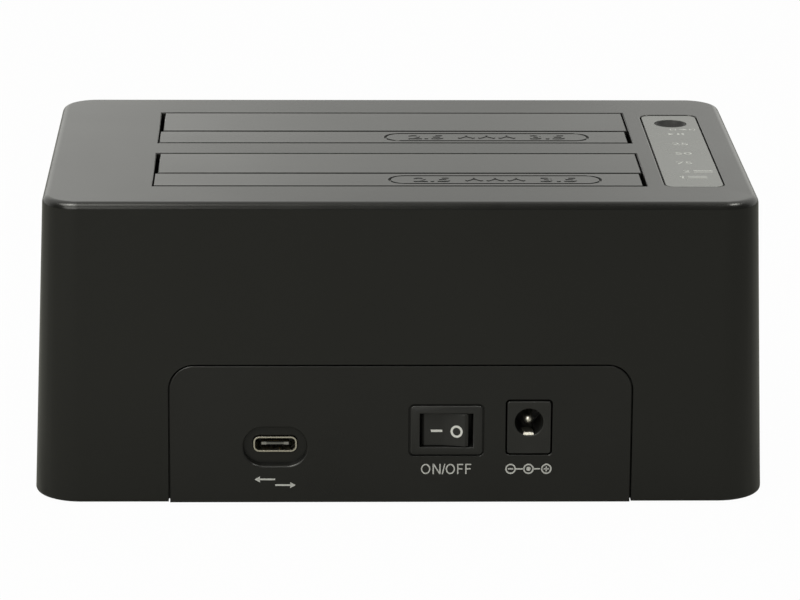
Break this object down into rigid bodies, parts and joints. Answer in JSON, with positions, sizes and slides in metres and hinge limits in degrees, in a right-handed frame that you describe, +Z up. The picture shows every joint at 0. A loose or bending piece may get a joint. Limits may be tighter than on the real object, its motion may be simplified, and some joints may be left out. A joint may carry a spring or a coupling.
{
  "type": "hard drive docking station",
  "caption": "Black desktop docking station with two-flap slots for bare hard drives, an indicator strip with a push button, and a rear panel with data socket, rocker switch and power jack.",
  "frame": {"origin": "centre of the footprint on the standing surface, under the feet", "axes": "+Z up, +X along the slots, to the right when facing the connector panel, -Y towards the connector panel"},
  "size_m": [0.1516, 0.0986, 0.0642],
  "materials": {
    "housing_plastic": "fine moulded texture",
    "flap_plastic": "fine moulded texture",
    "panel_plastic": "satin",
    "inner_plastic": "plain",
    "strip_plastic": "satin",
    "button_plastic": "satin",
    "switch_plastic": "satin",
    "jack_plastic": "satin",
    "socket_plastic": "plain",
    "plug_plastic": "plain",
    "cable_plastic": "plain",
    "clear_plastic": "clear",
    "foot_rubber": "matt",
    "board_laminate": "solder mask",
    "chip_plastic": "matt",
    "can_metal": "satin",
    "ferrite": "matt",
    "screw_steel": "zinc plated",
    "rod_steel": "drawn",
    "shell_steel": "drawn",
    "contact_metal": "plated",
    "pin_metal": "bright"
  },
  "bodies": {
    "dock": {"upper_housing": "housing_plastic", "base_plate": "panel_plastic", "rear_panel": "panel_plastic", "rubber_feet": "foot_rubber", "housing_screws": "screw_steel", "rear_bay_well": "inner_plastic", "front_bay_well": "inner_plastic", "indicator_strip": "strip_plastic", "button_switch": "can_metal", "indicator_board": "board_laminate", "indicator_screws": "screw_steel", "light_pipes": "clear_plastic", "status_lights": "clear_plastic", "link_cable": "cable_plastic", "link_connectors": "plug_plastic", "main_board": "board_laminate", "board_screws": "screw_steel", "bridge_chip": "chip_plastic", "capacitors": "can_metal", "inductors": "ferrite", "rear_drive_socket": "socket_plastic", "front_drive_socket": "socket_plastic", "rear_drive_contacts": "contact_metal", "front_drive_contacts": "contact_metal", "data_socket_shell": "shell_steel", "data_socket_tongue": "socket_plastic", "switch_housing": "switch_plastic", "switch_terminals": "contact_metal", "power_jack_body": "jack_plastic", "power_jack_pin": "pin_metal", "power_jack_contact": "pin_metal", "rear_narrow_rod": "rod_steel", "rear_narrow_spring": "rod_steel", "rear_wide_rod": "rod_steel", "rear_wide_spring": "rod_steel", "front_narrow_rod": "rod_steel", "front_narrow_spring": "rod_steel", "front_wide_rod": "rod_steel", "front_wide_spring": "rod_steel"},
    "rear_narrow_flap": {"rear_narrow_flap": "flap_plastic"},
    "rear_wide_flap": {"rear_wide_flap": "flap_plastic"},
    "front_narrow_flap": {"front_narrow_flap": "flap_plastic"},
    "front_wide_flap": {"front_wide_flap": "flap_plastic"},
    "switch_rocker": {"switch_rocker": "switch_plastic"},
    "copy_button": {"copy_button": "button_plastic", "button_plunger": "inner_plastic"}
  },
  "joints": [
    {"name": "rear_narrow_flap_hinge", "type": "hinge", "parent": "dock", "child": "rear_narrow_flap", "pos_m": [0, -0.0358, 0.0609], "axis": [-1, 0, 0], "range_deg": [0, 90], "stiffness_Nm_per_rad": 0.006, "springref_deg": -57.3, "deforming": ["rear_narrow_spring"]},
    {"name": "rear_wide_flap_hinge", "type": "hinge", "parent": "dock", "child": "rear_wide_flap", "pos_m": [0, -0.0018, 0.0609], "axis": [1, 0, 0], "range_deg": [0, 90], "stiffness_Nm_per_rad": 0.006, "springref_deg": -57.3, "deforming": ["rear_wide_spring"]},
    {"name": "front_narrow_flap_hinge", "type": "hinge", "parent": "dock", "child": "front_narrow_flap", "pos_m": [0, 0.0018, 0.0609], "axis": [-1, 0, 0], "range_deg": [0, 90], "stiffness_Nm_per_rad": 0.006, "springref_deg": -57.3, "deforming": ["front_narrow_spring"]},
    {"name": "front_wide_flap_hinge", "type": "hinge", "parent": "dock", "child": "front_wide_flap", "pos_m": [0, 0.0358, 0.0609], "axis": [1, 0, 0], "range_deg": [0, 90], "stiffness_Nm_per_rad": 0.006, "springref_deg": -57.3, "deforming": ["front_wide_spring"]},
    {"name": "rocker_tilt", "type": "hinge", "parent": "dock", "child": "switch_rocker", "pos_m": [0.00945, -0.04576, 0.01614], "axis": [0, 0.0366, 0.9993], "range_deg": [0, 14]},
    {"name": "button_press", "type": "slide", "parent": "dock", "child": "copy_button", "axis": [0, 0, -1], "range_m": [0, 0.0006], "stiffness_N_per_m": 1500, "springref_m": -0.0004}
  ]
}
